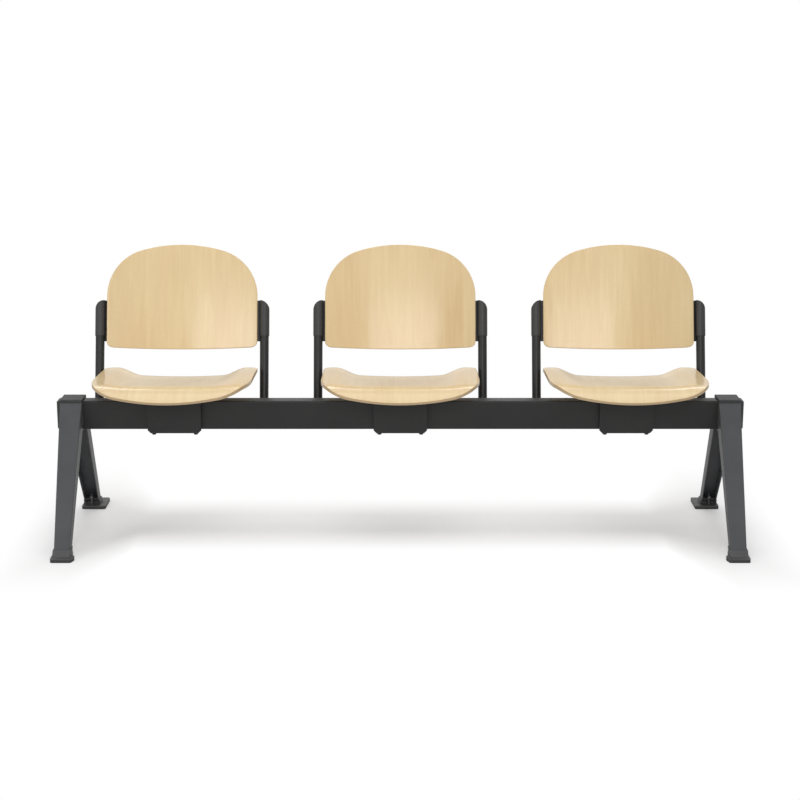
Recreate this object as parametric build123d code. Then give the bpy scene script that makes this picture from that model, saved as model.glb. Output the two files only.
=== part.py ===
from build123d import *
import math
import os

os.makedirs("parts", exist_ok=True)

# Overall layout, millimetres and degrees
BEAM_HALF = 926.0
LEG_INSET = 30.0
SEAT_INSET = 310.0
TOE_Y = 282.0
GAP = 0.3

# Beam
BEAM_DEPTH = 40.0
BEAM_HEIGHT = 80.0
BEAM_BOTTOM = 296.0
BEAM_WALL = 3.0
BEAM_RADIUS = 4.0
CAP_HEAD = 12.0
CAP_PLUG = 15.0
CAP_WALL = 2.5

# Leg frame
LEG_ANGLE = 31.7
LEG_TOP_Y = 34.0
LEG_LIP = 2.0
LEG_LENGTH = 410.0
LEG_WIDTH_TOP = 60.0
LEG_WIDTH_END = 41.5
LEG_DEPTH_TOP = 46.0
LEG_DEPTH_END = 31.0
LEG_SHEET = 2.5
LEG_BEND = 3.0
END_PLATE_Z = 27.0
END_PLATE = 3.0
SADDLE_THICK = 6.0
SADDLE_DEPTH = 71.0
SADDLE_ROUND = 5.0
TIE_THICK = 6.0
TIE_DEPTH = 116.0
TIE_BOLT_X = 10.0

# Feet
FOOT_BASE = 10.0
FOOT_WALL = 2.4
COLLAR_DROP = 404.0
CORE_TOP = 24.0
FRONT_PLATE_HALF = 31.5
FRONT_FLANGE = 32.0
REAR_PLATE_HALF = 34.5
REAR_PLATE_END_HALF = 31.0
REAR_PLATE_START = 203.0
PLATE_ROUND = 7.0
FRONT_HOLE_X = 24.5
FRONT_HOLE_Y = 271.0
REAR_HOLE_X = 28.0
REAR_HOLE_Y = 234.0
FIX_HOLE_R = 2.75
STUD_Y = 217.0
STUD_LENGTH = 38.0
POCKET_X = 11.0
POCKET_SIZE = 9.0

# Seat panel
PLY = 11.0
SEAT_HALF = 214.3
SEAT_REAR_Y = 172.0
SEAT_REAR_Z = 401.9
SEAT_SLOPE = 7.5
SEAT_FLAT = 302.0
KNEE_RADIUS = 95.0
LIP_ANGLE = 40.0
LIP_LENGTH = 8.5
DISH = 8.5
WING_RISE = 17.1
WING_LENGTH = 380.0
WING_START = 112.0
WING_TOP = 180.0
FRONT_BOW = 534.0
FRONT_CORNER = 105.0
FRONT_TILT = 70.0
REAR_CORNER = 28.5

# Back frame and back panel
BACK_LEAN = 17.0
TUBE_Y = 210.0
TUBE_Z = 576.0
TUBE_X = 232.0
TUBE_R = 12.5
TUBE_WALL = 2.0
TUBE_COVER = 24.0
TUBE_BOTTOM = -304.0
TUBE_BEND = 60.0
BACK_HALF = 212.7
BACK_BOW = 20.0
BACK_EDGE_N = -8.0
BACK_TOP = 191.5
BACK_BOTTOM = -104.3
BACK_BOTTOM_BOW = 8.0
BACK_TOP_RADIUS = 430.0
BACK_SHOULDER = 132.0
BACK_CORNER = 17.0
PANEL_EDGE = 2.5

# Sleeves
SLEEVE_WALL = 1.2
SLEEVE_START = -64.0
SLEEVE_TOP = 36.5
TAB_START = -79.0
TAB_REACH = 22.0
TAB_THICK = 4.0
BACK_SCREW_INSET = 11.0
BACK_SCREW_S = (-56.0, 10.0)

# Beam bracket and seat carrier
BRACKET_HALF = 73.0
BRACKET_SHEET = 3.0
BRACKET_SPACE = 33.0
BRACKET_DROP = 7.0
BRACKET_CUT = 8.0
CLAMP_THICK = 7.0
CLAMP_HALF_Y = 31.0
BOLT_INSET = 16.0
BOLT_Y = 26.5
BOLT_R = 4.0
BOLT_FLATS = 13.0
BOLT_HEAD = 5.3
NUT_HEIGHT = 6.5
CLAMP_BOLT_R = 3.0
CLAMP_FLATS = 10.0
CLAMP_NUT = 5.2
CARRIER_SHEET = 3.0
CARRIER_HALF = 85.0
CARRIER_START = 38.0
CARRIER_END = 290.0
CARRIER_LIP = 12.0
WEB_X = 66.0
WEB_SHEET = 4.0
SEAT_SCREW_X = 45.0
SEAT_SCREW_S = (80.0, 250.0)
SCREW_R = 3.0
SCREW_HEAD_R = 6.0
SCREW_HEAD = 3.5
SCREW_BITE = 6.5

# Derived places
LEG_X = BEAM_HALF - LEG_INSET
SEAT_PITCH = BEAM_HALF - SEAT_INSET
SLEEVE_R = TUBE_R + GAP + SLEEVE_WALL
TUBE_TOP = SLEEVE_TOP - TUBE_COVER
BACK_SCREW_X = BACK_HALF - BACK_SCREW_INSET
BOLT_X = BRACKET_HALF - BOLT_INSET
BEAM_TOP = BEAM_BOTTOM + BEAM_HEIGHT
LEG_TOP_Z = BEAM_TOP - LEG_LIP
LEAN = math.radians(BACK_LEAN)
SLOPE = math.radians(SEAT_SLOPE)
SEATS = {"left": -SEAT_PITCH, "centre": 0.0, "right": SEAT_PITCH}
ENDS = {"left": -LEG_X, "right": LEG_X}
BACK_RADIUS = (BACK_HALF**2 + BACK_BOW**2) / (2 * BACK_BOW)
BACK_CENTRE_N = BACK_EDGE_N - BACK_BOW + BACK_RADIUS
BACK_PLANE = Plane(origin=(0, TUBE_Y, TUBE_Z), x_dir=(1, 0, 0), z_dir=(0, math.sin(LEAN), math.cos(LEAN)))
SEAT_PLANE = Plane(
    origin=(0, SEAT_REAR_Y, SEAT_REAR_Z), x_dir=(1, 0, 0), z_dir=(0, math.sin(SLOPE), math.cos(SLOPE))
)
LEG_TILT = math.radians(LEG_ANGLE)
LEG_PLANE = Plane(
    origin=(0, -LEG_TOP_Y, LEG_TOP_Z), x_dir=(1, 0, 0), z_dir=(0, -math.sin(LEG_TILT), -math.cos(LEG_TILT))
)


def save(shape, name):
    export_step(shape, "parts/" + name + ".step")


def block(x0, x1, y0, y1, z0, z1):
    size = Box(x1 - x0, y1 - y0, z1 - z0)
    return Pos((x0 + x1) / 2, (y0 + y1) / 2, (z0 + z1) / 2) * size


def rod(x, y, z0, z1, radius):
    return Pos(x, y, (z0 + z1) / 2) * Cylinder(radius, z1 - z0)


def hexagon(x, y, z0, z1, flats):
    return Pos(x, y, z0) * extrude(RegularPolygon(flats / 2, 6, major_radius=False), amount=z1 - z0)


def profile_yz(lines, x0, x1):
    face = make_face(lines)
    return Pos(x0, 0, 0) * extrude(Plane.YZ * face, amount=x1 - x0)


# Beam and end caps


def beam():
    outer = RectangleRounded(BEAM_DEPTH, BEAM_HEIGHT, BEAM_RADIUS)
    inner = RectangleRounded(BEAM_DEPTH - 2 * BEAM_WALL, BEAM_HEIGHT - 2 * BEAM_WALL, BEAM_RADIUS - BEAM_WALL)
    tube = Plane.YZ * (outer - inner)
    body = Pos(-BEAM_HALF, 0, BEAM_BOTTOM + BEAM_HEIGHT / 2) * extrude(tube, amount=2 * BEAM_HALF)
    for centre in ENDS.values():
        for side in (-1, 1):
            x = centre + side * TIE_BOLT_X
            body -= rod(x, 0, BEAM_BOTTOM - 1, BEAM_BOTTOM + BEAM_WALL + 1, BOLT_R + GAP)
    return body


def beam_end_cap():
    middle = BEAM_BOTTOM + BEAM_HEIGHT / 2
    head = extrude(Plane.YZ * RectangleRounded(BEAM_DEPTH, BEAM_HEIGHT, BEAM_RADIUS), amount=CAP_HEAD)
    head = fillet(head.faces().sort_by(Axis.X)[-1].edges(), CAP_HEAD * 0.45)
    shrink = 2 * (BEAM_WALL + GAP)
    plug = RectangleRounded(BEAM_DEPTH - shrink, BEAM_HEIGHT - shrink, BEAM_RADIUS - BEAM_WALL)
    core = Rectangle(BEAM_DEPTH - shrink - 2 * CAP_WALL, BEAM_HEIGHT - shrink - 2 * CAP_WALL)
    sleeve = extrude(Plane.YZ * (plug - core), amount=-CAP_PLUG)
    rib = extrude(Plane.YZ * Rectangle(BEAM_DEPTH - shrink, CAP_WALL), amount=-CAP_PLUG)
    return Pos(BEAM_HALF, 0, middle) * (head + sleeve + rib)


# Legs, built in the leg's own frame: z runs down the leg, -y points to the open side


def leg_width(p):
    return LEG_WIDTH_TOP + (LEG_WIDTH_END - LEG_WIDTH_TOP) * p / LEG_LENGTH


def leg_rect(p, grow):
    width = leg_width(p) + 2 * grow
    depth = LEG_DEPTH_TOP + (LEG_DEPTH_END - LEG_DEPTH_TOP) * p / LEG_LENGTH
    return Pos(0, -depth / 2, p) * Rectangle(width, depth + 2 * grow)


def leg_envelope(grow, bend):
    solid = loft([leg_rect(-80, grow), leg_rect(LEG_LENGTH + 80, grow)], ruled=True)
    corners = [e for e in solid.edges() if abs(e.center().Y - grow) < 1 and e.length > LEG_LENGTH]
    return LEG_PLANE * fillet(corners, bend)


def leg_space(grow):
    def rect(p):
        reach = LEG_DEPTH_TOP + 40
        y = -LEG_SHEET + grow - reach / 2
        return Pos(0, y, p) * Rectangle(leg_width(p) - 2 * LEG_SHEET + 2 * grow, reach)

    return LEG_PLANE * loft([rect(-80), rect(LEG_LENGTH + 80)], ruled=True)


def below(z):
    return block(-100, 100, -500, 500, -200, z)


def front_leg():
    limits = block(-100, 100, -500, -BEAM_DEPTH / 2, FOOT_BASE, LEG_TOP_Z)
    channel = (leg_envelope(0, LEG_BEND) - leg_space(0)) & limits
    plate = leg_envelope(0, LEG_BEND) & leg_space(0.05)
    plate &= block(-100, 100, -500, -BEAM_DEPTH / 2, END_PLATE_Z, END_PLATE_Z + END_PLATE)
    leg = channel + plate
    return leg - rod(0, -STUD_Y, 0, 2 * END_PLATE_Z, BOLT_R + GAP)


def saddle():
    half = SADDLE_DEPTH / 2
    beam_half = BEAM_DEPTH / 2
    width = LEG_WIDTH_TOP / 2
    top = block(-width, width, -half, half, BEAM_TOP, BEAM_TOP + SADDLE_THICK)
    front = block(-width, width, -half, -beam_half, LEG_TOP_Z, BEAM_TOP)
    rear = block(-width, width, beam_half, half, LEG_TOP_Z, BEAM_TOP)
    body = top + front + rear
    crown = body.edges().filter_by(Axis.X).group_by(Axis.Z)[-1]
    body = fillet(crown, SADDLE_ROUND)
    ends = body.faces().sort_by(Axis.X)
    rims = [e for e in ends[0].edges() + ends[-1].edges() if e.center().Z > BEAM_TOP + 0.5]
    return fillet(rims, 0.8)


def leg_tie_plate():
    z1 = BEAM_BOTTOM
    down = LEG_TOP_Z - z1 + TIE_THICK
    lowest = (TIE_DEPTH / 2 - LEG_TOP_Y) * math.sin(LEG_TILT) + down * math.cos(LEG_TILT)
    half = leg_width(lowest) / 2 - LEG_SHEET - GAP
    plate = block(-half, half, -TIE_DEPTH / 2, TIE_DEPTH / 2, z1 - TIE_THICK, z1)
    plate = fillet(plate.edges().filter_by(Axis.Z), 4)
    for side in (-1, 1):
        plate -= rod(side * TIE_BOLT_X, 0, z1 - TIE_THICK - 1, z1 + 1, BOLT_R + GAP)
    return plate


def leg_tie_bolts():
    under = BEAM_BOTTOM - TIE_THICK
    bolts = []
    for side in (-1, 1):
        head = hexagon(side * TIE_BOLT_X, 0, under - BOLT_HEAD, under, BOLT_FLATS)
        shank = rod(side * TIE_BOLT_X, 0, under - 1, BEAM_BOTTOM + 3 * BEAM_WALL, BOLT_R)
        bolts.append((head + shank).solid())
    return bolts


# Feet


def boot():
    collar = LEG_PLANE * Pos(0, 0, COLLAR_DROP) * block(-100, 100, -200, 200, 0, 200)
    outer = leg_envelope(GAP + FOOT_WALL, LEG_BEND + FOOT_WALL) & collar
    outer &= block(-100, 100, -500, 0, 0, 200)
    socket = leg_envelope(GAP, LEG_BEND) - leg_space(-GAP)
    socket -= below(FOOT_BASE)
    hollow = leg_space(-GAP) & block(-100, 100, -500, 0, CORE_TOP, 200)
    hollow &= leg_envelope(GAP, LEG_BEND)
    return outer - socket - hollow


def foot_cuts(foot):
    inner = -REAR_PLATE_START
    for side in (-1, 1):
        x = side * POCKET_X
        size = POCKET_SIZE / 2
        depth = block(x - size, x + size, inner - 22, inner + 40, FOOT_BASE + 3, FOOT_BASE + 3 + POCKET_SIZE)
        foot -= depth
    foot -= block(-2, 2, -STUD_Y, inner + 40, FOOT_BASE + 2, CORE_TOP + 20)
    return foot - rod(0, -STUD_Y, FOOT_BASE / 2, 2 * CORE_TOP, BOLT_R + GAP)


def plate_prism(points, inset):
    outline = make_face(Polyline(*points, close=True))
    outline = fillet(outline.vertices(), PLATE_ROUND)
    plate = extrude(outline, amount=FOOT_BASE)
    rim = plate.faces().sort_by(Axis.Z)[-1].edges()
    return fillet(rim, inset)


def front_foot(inboard):
    outer = -TOE_Y
    half = FRONT_PLATE_HALF
    back = outer + FRONT_FLANGE
    points = [(-half + 2, outer), (half - 2, outer), (half, back), (-half, back)]
    boot_half = LEG_WIDTH_END / 2 + FOOT_WALL
    heel = block(-boot_half, boot_half, back - 10, -REAR_PLATE_START + 4, 0, FOOT_BASE)
    heel = fillet(heel.edges().filter_by(Axis.Z).group_by(Axis.Y)[-1], 5)
    foot = plate_prism(points, 1.8) + heel + boot()
    foot -= rod(inboard * FRONT_HOLE_X, -FRONT_HOLE_Y, -1, FOOT_BASE + 1, FIX_HOLE_R)
    return foot_cuts(foot)


def rear_foot(inboard):
    half = REAR_PLATE_HALF
    end = REAR_PLATE_END_HALF
    start = -REAR_PLATE_START
    points = [(-end, -TOE_Y), (end, -TOE_Y), (half, start), (-half, start)]
    foot = plate_prism(points, 1.8) + boot()
    foot -= rod(inboard * REAR_HOLE_X, -REAR_HOLE_Y, -1, FOOT_BASE + 1, FIX_HOLE_R)
    return mirror(foot_cuts(foot), about=Plane.XZ)


def foot_studs():
    studs = []
    for side in (-1, 1):
        y = side * STUD_Y
        shank = rod(0, y, FOOT_BASE / 2, FOOT_BASE / 2 + STUD_LENGTH, BOLT_R)
        top = END_PLATE_Z + END_PLATE
        nut = hexagon(0, y, top, top + NUT_HEIGHT, BOLT_FLATS)
        studs.append((shank + nut).solid())
    return studs


# Seat panel


def seat_line(s):
    if s <= SEAT_FLAT:
        return -s, 0.0, 0.0
    turn = min((s - SEAT_FLAT) / KNEE_RADIUS, math.radians(SEAT_SLOPE + LIP_ANGLE))
    rest = s - SEAT_FLAT - turn * KNEE_RADIUS
    y = -SEAT_FLAT - KNEE_RADIUS * math.sin(turn) - rest * math.cos(turn)
    z = -KNEE_RADIUS * (1 - math.cos(turn)) - rest * math.sin(turn)
    return y, z, turn


def wing(x, s):
    reach = min(abs(x), WING_TOP)
    ramp = max(reach - WING_START, 0) / (WING_TOP - WING_START)
    rise = DISH * (reach / WING_TOP) ** 2 + WING_RISE * (0.5 - 0.5 * math.cos(math.pi * ramp))
    along = min(max(s, 0) / WING_LENGTH, 1)
    return rise * (1 - along**1.4) ** 1.3


def seat_length():
    return SEAT_FLAT + KNEE_RADIUS * math.radians(SEAT_SLOPE + LIP_ANGLE) + LIP_LENGTH


def seat_surface():
    rows = []
    total = seat_length()
    spare = 2 * PLY
    for i in range(25):
        s = (total + 2 * spare) * i / 24 - spare
        y, z, turn = seat_line(s)
        row = []
        for j in range(33):
            x = SEAT_HALF * 1.02 * (j / 16 - 1)
            lift = wing(x, s)
            row.append(Vector(x, y - lift * math.sin(turn), z + lift * math.cos(turn)))
        rows.append(row)
    return Face.make_surface_from_array_of_points(rows, tol=0.05)


def front_outline():
    lip_y, lip_z, turn = seat_line(seat_length())
    tilt = math.radians(FRONT_TILT - SEAT_SLOPE)
    plane = Plane(origin=(0, lip_y, lip_z), x_dir=(1, 0, 0), z_dir=(0, -math.sin(tilt), math.cos(tilt)))
    side = SEAT_HALF - FRONT_CORNER
    corner = FRONT_BOW - math.sqrt((FRONT_BOW - FRONT_CORNER) ** 2 - side**2)
    aim = math.degrees(math.asin(side / (FRONT_BOW - FRONT_CORNER)))
    far = SEAT_FLAT + 2 * KNEE_RADIUS
    lines = [
        Line((SEAT_HALF, far), (SEAT_HALF, corner)),
        CenterArc((side, corner), FRONT_CORNER, 0, -(90 - aim)),
        CenterArc((0, FRONT_BOW), FRONT_BOW, -90 + aim, -2 * aim),
        CenterArc((-side, corner), FRONT_CORNER, -90 - aim, -(90 - aim)),
        Line((-SEAT_HALF, corner), (-SEAT_HALF, far)),
        Line((-SEAT_HALF, far), (SEAT_HALF, far)),
    ]
    return extrude(plane * make_face(lines), amount=2 * SEAT_FLAT, both=True)


def seat_panel():
    solid = Solid.thicken(seat_surface(), PLY, (0, 0, -1))
    rear = block(-SEAT_HALF, SEAT_HALF, -2 * SEAT_FLAT, 0, -200, 200)
    rear = fillet(rear.edges().filter_by(Axis.Z).group_by(Axis.Y)[-1], REAR_CORNER)
    panel = Part() + solid
    panel = panel & rear & front_outline()
    for side in (-1, 1):
        for s in SEAT_SCREW_S:
            panel -= rod(side * SEAT_SCREW_X, -s, -2 * PLY, -PLY + SCREW_BITE + 0.5, SCREW_R + GAP)
    return SEAT_PLANE * panel


# Seat carrier, bracket and clamp


def under_seat(s, drop):
    y = SEAT_REAR_Y - s * math.cos(SLOPE) - drop * math.sin(SLOPE)
    z = SEAT_REAR_Z + s * math.sin(SLOPE) - drop * math.cos(SLOPE)
    return y, z


def cross_tube():
    return TUBE_Y + TUBE_BOTTOM * math.sin(LEAN), TUBE_Z + TUBE_BOTTOM * math.cos(LEAN)


def carrier_web(x0):
    drop = PLY + GAP + CARRIER_SHEET / 2
    tube_y, tube_z = cross_tube()
    notch = TUBE_R + GAP
    skew = notch * math.sqrt(0.5)
    edge = BRACKET_SPACE + BRACKET_SHEET
    floor = BEAM_TOP + BRACKET_SHEET
    front = under_seat(CARRIER_END - 15, drop)
    rear = under_seat(CARRIER_START + 6, drop)
    low = (edge, BEAM_BOTTOM + 4)
    bend = ((front[0] - edge) / 2 + 8, (front[1] + floor) / 2 + 5)
    lines = [
        Line(front, rear),
        Line(rear, (tube_y + 6, tube_z + 3 * notch)),
        Line((tube_y + 6, tube_z + 3 * notch), (tube_y, tube_z + notch)),
        ThreePointArc((tube_y, tube_z + notch), (tube_y - skew, tube_z + skew), (tube_y - notch, tube_z)),
        Line((tube_y - notch, tube_z), low),
        Line(low, (edge, floor)),
        Line((edge, floor), (-edge, floor)),
        ThreePointArc((-edge, floor), bend, front),
    ]
    web = profile_yz(lines, x0, x0 + WEB_SHEET)
    hole = Rot(0, 90, 0) * Cylinder(15, 4 * WEB_SHEET)
    return web - Pos(x0, (edge + tube_y) / 2, (floor + tube_z) / 2 + 12) * hole


def seat_carrier():
    top = -PLY - GAP
    half = CARRIER_HALF
    low = top - CARRIER_SHEET
    plate = block(-half, half, -CARRIER_END, -CARRIER_START, low, top)
    plate = fillet(plate.edges().filter_by(Axis.Z), 10)
    for side in (-1, 1):
        edge = block(half - CARRIER_SHEET, half, -CARRIER_END + 14, -CARRIER_START - 14, low - CARRIER_LIP, top)
        plate += Pos((side - 1) / 2 * (2 * half - CARRIER_SHEET), 0, 0) * edge
        for s in SEAT_SCREW_S:
            plate -= rod(side * SEAT_SCREW_X, -s, low - 1, top + 1, SCREW_R + GAP)
    carrier = SEAT_PLANE * plate
    carrier += carrier_web(WEB_X)
    return carrier + carrier_web(-WEB_X - WEB_SHEET)


def beam_bracket():
    inner = BRACKET_SPACE
    outer = BRACKET_SPACE + BRACKET_SHEET
    foot = BEAM_BOTTOM - BRACKET_DROP
    roof = BEAM_TOP + BRACKET_SHEET
    body = block(-BRACKET_HALF, BRACKET_HALF, -outer, outer, foot, roof)
    body -= block(-BRACKET_HALF - 1, BRACKET_HALF + 1, -inner, inner, foot - 1, BEAM_TOP)
    bends = [e for e in body.edges().filter_by(Axis.X).group_by(Axis.Z)[-1]]
    body = fillet(bends, BRACKET_SHEET + 0.5)
    corners = [e for e in body.edges().filter_by(Axis.Y) if abs(e.center().Z - foot) < 0.1]
    body = chamfer(corners, BRACKET_CUT)
    for x in (-BOLT_X, BOLT_X):
        for y in (-BOLT_Y, BOLT_Y):
            body -= rod(x, y, BEAM_TOP - 1, roof + 1, CLAMP_BOLT_R + GAP)
    return body


def clamp_plate():
    low = BEAM_BOTTOM - CLAMP_THICK
    half = BRACKET_HALF - BRACKET_CUT
    plate = block(-half, half, -CLAMP_HALF_Y, CLAMP_HALF_Y, low, BEAM_BOTTOM)
    plate = fillet(plate.edges().filter_by(Axis.Z), 6)
    for x in (-BOLT_X, BOLT_X):
        for y in (-BOLT_Y, BOLT_Y):
            plate -= rod(x, y, low - 1, BEAM_BOTTOM + 1, CLAMP_BOLT_R + GAP)
    return plate


def clamp_bolts():
    low = BEAM_BOTTOM - CLAMP_THICK
    top = BEAM_TOP + BRACKET_SHEET + CLAMP_NUT + 2
    bolts = []
    for x in (-BOLT_X, BOLT_X):
        for y in (-BOLT_Y, BOLT_Y):
            head = hexagon(x, y, low - BOLT_HEAD, low, CLAMP_FLATS)
            bolts.append((head + rod(x, y, low - 1, top, CLAMP_BOLT_R)).solid())
    return bolts


def clamp_nuts():
    roof = BEAM_TOP + BRACKET_SHEET
    nuts = []
    for x in (-BOLT_X, BOLT_X):
        for y in (-BOLT_Y, BOLT_Y):
            nut = hexagon(x, y, roof, roof + CLAMP_NUT, CLAMP_FLATS)
            nut -= rod(x, y, roof - 1, roof + CLAMP_NUT + 1, CLAMP_BOLT_R + GAP)
            nuts.append(nut.solid())
    return nuts


def seat_screws():
    head_top = -PLY - GAP - CARRIER_SHEET
    screws = []
    for x in (-SEAT_SCREW_X, SEAT_SCREW_X):
        for s in SEAT_SCREW_S:
            head = rod(x, -s, head_top - SCREW_HEAD, head_top, SCREW_HEAD_R)
            shank = rod(x, -s, head_top - 1, -PLY + SCREW_BITE, SCREW_R)
            screws.append((SEAT_PLANE * (head + shank)).solid())
    return screws


# Back frame, back panel and sleeves, built in the leaning frame: z runs up the back, y points behind it


def back_frame():
    bend = TUBE_BEND
    skew = bend * math.sqrt(0.5)
    x = TUBE_X
    foot = TUBE_BOTTOM
    turn = foot + bend
    mid = x - bend + skew
    path = Line((-x, 0, TUBE_TOP), (-x, 0, turn))
    path += ThreePointArc((-x, 0, turn), (-mid, 0, turn - skew), (-x + bend, 0, foot))
    path += Line((-x + bend, 0, foot), (x - bend, 0, foot))
    path += ThreePointArc((x - bend, 0, foot), (mid, 0, turn - skew), (x, 0, turn))
    path += Line((x, 0, turn), (x, 0, TUBE_TOP))
    start = Plane(origin=(-x, 0, TUBE_TOP), z_dir=(0, 0, -1))
    outer = sweep(start * Circle(TUBE_R), path=path)
    inner = sweep(start * Circle(TUBE_R - TUBE_WALL), path=path)
    return BACK_PLANE * (outer - inner)


def back_outline():
    half = BACK_HALF
    side = half - BACK_SHOULDER
    crown = BACK_TOP - BACK_TOP_RADIUS
    shoulder = crown + math.sqrt((BACK_TOP_RADIUS - BACK_SHOULDER) ** 2 - side**2)
    aim = math.degrees(math.asin(side / (BACK_TOP_RADIUS - BACK_SHOULDER)))
    corner = BACK_BOTTOM + BACK_BOTTOM_BOW
    lines = [
        Line((half, corner), (half, shoulder)),
        CenterArc((side, shoulder), BACK_SHOULDER, 0, 90 - aim),
        CenterArc((0, crown), BACK_TOP_RADIUS, 90 - aim, 2 * aim),
        CenterArc((-side, shoulder), BACK_SHOULDER, 90 + aim, 90 - aim),
        Line((-half, shoulder), (-half, corner)),
        ThreePointArc((-half, corner), (0, BACK_BOTTOM), (half, corner)),
    ]
    face = make_face(lines)
    low = face.vertices().group_by(Axis.Y)[0]
    return extrude(Plane.XZ * fillet(low, BACK_CORNER), amount=120, both=True)


def back_band(front, rear, x0, x1, s0, s1):
    def at(radius, x):
        return x, BACK_CENTRE_N - math.sqrt(radius**2 - x**2)

    mid = (x0 + x1) / 2
    lines = [
        ThreePointArc(at(front, x0), at(front, mid), at(front, x1)),
        Line(at(front, x1), at(rear, x1)),
        ThreePointArc(at(rear, x1), at(rear, mid), at(rear, x0)),
        Line(at(rear, x0), at(front, x0)),
    ]
    return Pos(0, 0, s0) * extrude(make_face(lines), amount=s1 - s0)


def radial_rod(x, s, front, rear, radius):
    aim = math.degrees(math.asin(x / BACK_RADIUS))
    pin = Rot(90, 0, 0) * Cylinder(radius, front - rear)
    return Pos(0, BACK_CENTRE_N, s) * Rot(0, 0, aim) * Pos(0, -(front + rear) / 2, 0) * pin


def tab_radii():
    front = BACK_RADIUS - PLY - GAP
    return front, front - TAB_THICK


def back_panel():
    reach = BACK_HALF + 20
    band = back_band(BACK_RADIUS, BACK_RADIUS - PLY, -reach, reach, 2 * BACK_BOTTOM, 2 * BACK_TOP)
    panel = band & back_outline()
    panel = fillet(panel.edges(), PANEL_EDGE)
    for side in (-1, 1):
        for s in BACK_SCREW_S:
            rear = BACK_RADIUS - 2 * PLY
            front = BACK_RADIUS - PLY + SCREW_BITE + 0.5
            panel -= radial_rod(side * BACK_SCREW_X, s, front, rear, SCREW_R + GAP)
    return BACK_PLANE * panel


def sleeve():
    front, rear = tab_radii()
    reach = TUBE_X + SLEEVE_R
    tab = back_band(front, rear, BACK_HALF - TAB_REACH, TUBE_X, TAB_START, SLEEVE_TOP)
    body = rod(TUBE_X, 0, SLEEVE_START, SLEEVE_TOP, SLEEVE_R) + tab
    far = BACK_HALF - 2 * TAB_REACH
    round_top = 2 * SLEEVE_R
    top = reach - round_top
    start = SLEEVE_TOP - round_top
    skew = round_top * math.sqrt(0.5)
    low = 2 * TAB_START
    lines = [
        Polyline((reach, start), (reach, low), (far, low), (far, SLEEVE_TOP), (top, SLEEVE_TOP)),
        ThreePointArc((top, SLEEVE_TOP), (top + skew, start + skew), (reach, start)),
    ]
    body &= extrude(Plane.XZ * make_face(lines), amount=80, both=True)
    body -= rod(TUBE_X, 0, TAB_START - 1, TUBE_TOP, TUBE_R + GAP)
    for s in BACK_SCREW_S:
        body -= radial_rod(BACK_SCREW_X, s, front + 1, rear - 1, SCREW_R + GAP)
    return body


def back_screws():
    front, rear = tab_radii()
    screws = []
    for side in (-1, 1):
        for s in BACK_SCREW_S:
            x = side * BACK_SCREW_X
            head = radial_rod(x, s, rear - GAP, rear - GAP - SCREW_HEAD, SCREW_HEAD_R)
            shank = radial_rod(x, s, BACK_RADIUS - PLY + SCREW_BITE, rear - 1, SCREW_R)
            screws.append((BACK_PLANE * (head + shank)).solid())
    return screws


def save_group(solids, name, x):
    save(Compound([Pos(x, 0, 0) * solid for solid in solids]), name)


def save_frame():
    save(beam(), "beam")
    cap = beam_end_cap()
    save(cap, "beam_end_cap_right")
    save(mirror(cap, about=Plane.YZ), "beam_end_cap_left")
    leg = front_leg()
    back_leg = mirror(leg, about=Plane.XZ)
    for name, x in ENDS.items():
        inboard = -1 if x > 0 else 1
        move = Pos(x, 0, 0)
        save(move * leg, "front_leg_" + name)
        save(move * back_leg, "rear_leg_" + name)
        save(move * saddle(), "saddle_" + name)
        save(move * leg_tie_plate(), "leg_tie_plate_" + name)
        save(move * front_foot(inboard), "front_foot_" + name)
        save(move * rear_foot(inboard), "rear_foot_" + name)
        save_group(leg_tie_bolts(), "leg_tie_bolts_" + name, x)
        save_group(foot_studs(), "foot_studs_" + name, x)


def save_seats():
    right = sleeve()
    pieces = {
        "seat_panel": seat_panel(),
        "seat_carrier": seat_carrier(),
        "beam_bracket": beam_bracket(),
        "clamp_plate": clamp_plate(),
        "back_frame": back_frame(),
        "back_panel": back_panel(),
        "sleeve_right": BACK_PLANE * right,
        "sleeve_left": BACK_PLANE * mirror(right, about=Plane.YZ),
    }
    groups = {
        "clamp_bolts": clamp_bolts(),
        "clamp_nuts": clamp_nuts(),
        "seat_screws": seat_screws(),
        "back_screws": back_screws(),
    }
    for name, x in SEATS.items():
        for piece, shape in pieces.items():
            save(Pos(x, 0, 0) * shape, piece + "_" + name)
        for group, solids in groups.items():
            save_group(solids, group + "_" + name, x)


save_frame()
save_seats()
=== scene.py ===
import math

import bpy
from mathutils import Matrix, Vector


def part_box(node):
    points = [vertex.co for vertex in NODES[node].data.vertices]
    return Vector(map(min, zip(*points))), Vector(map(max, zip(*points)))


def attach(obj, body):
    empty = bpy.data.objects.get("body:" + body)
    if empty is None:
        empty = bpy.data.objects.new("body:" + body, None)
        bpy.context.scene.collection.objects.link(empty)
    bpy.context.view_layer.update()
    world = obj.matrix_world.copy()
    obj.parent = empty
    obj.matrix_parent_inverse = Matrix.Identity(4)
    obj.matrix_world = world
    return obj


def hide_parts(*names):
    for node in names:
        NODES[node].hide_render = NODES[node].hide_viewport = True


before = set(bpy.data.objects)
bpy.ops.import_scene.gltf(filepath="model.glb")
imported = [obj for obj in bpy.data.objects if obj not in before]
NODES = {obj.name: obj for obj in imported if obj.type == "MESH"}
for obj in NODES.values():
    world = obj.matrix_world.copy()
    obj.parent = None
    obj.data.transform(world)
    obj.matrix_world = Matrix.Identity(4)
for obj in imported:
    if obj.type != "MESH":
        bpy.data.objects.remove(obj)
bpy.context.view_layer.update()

# The three seats, and the sign of x at each end of the bench
SEATS = ("left", "centre", "right")
ENDS = {"left": -1, "right": 1}

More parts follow.
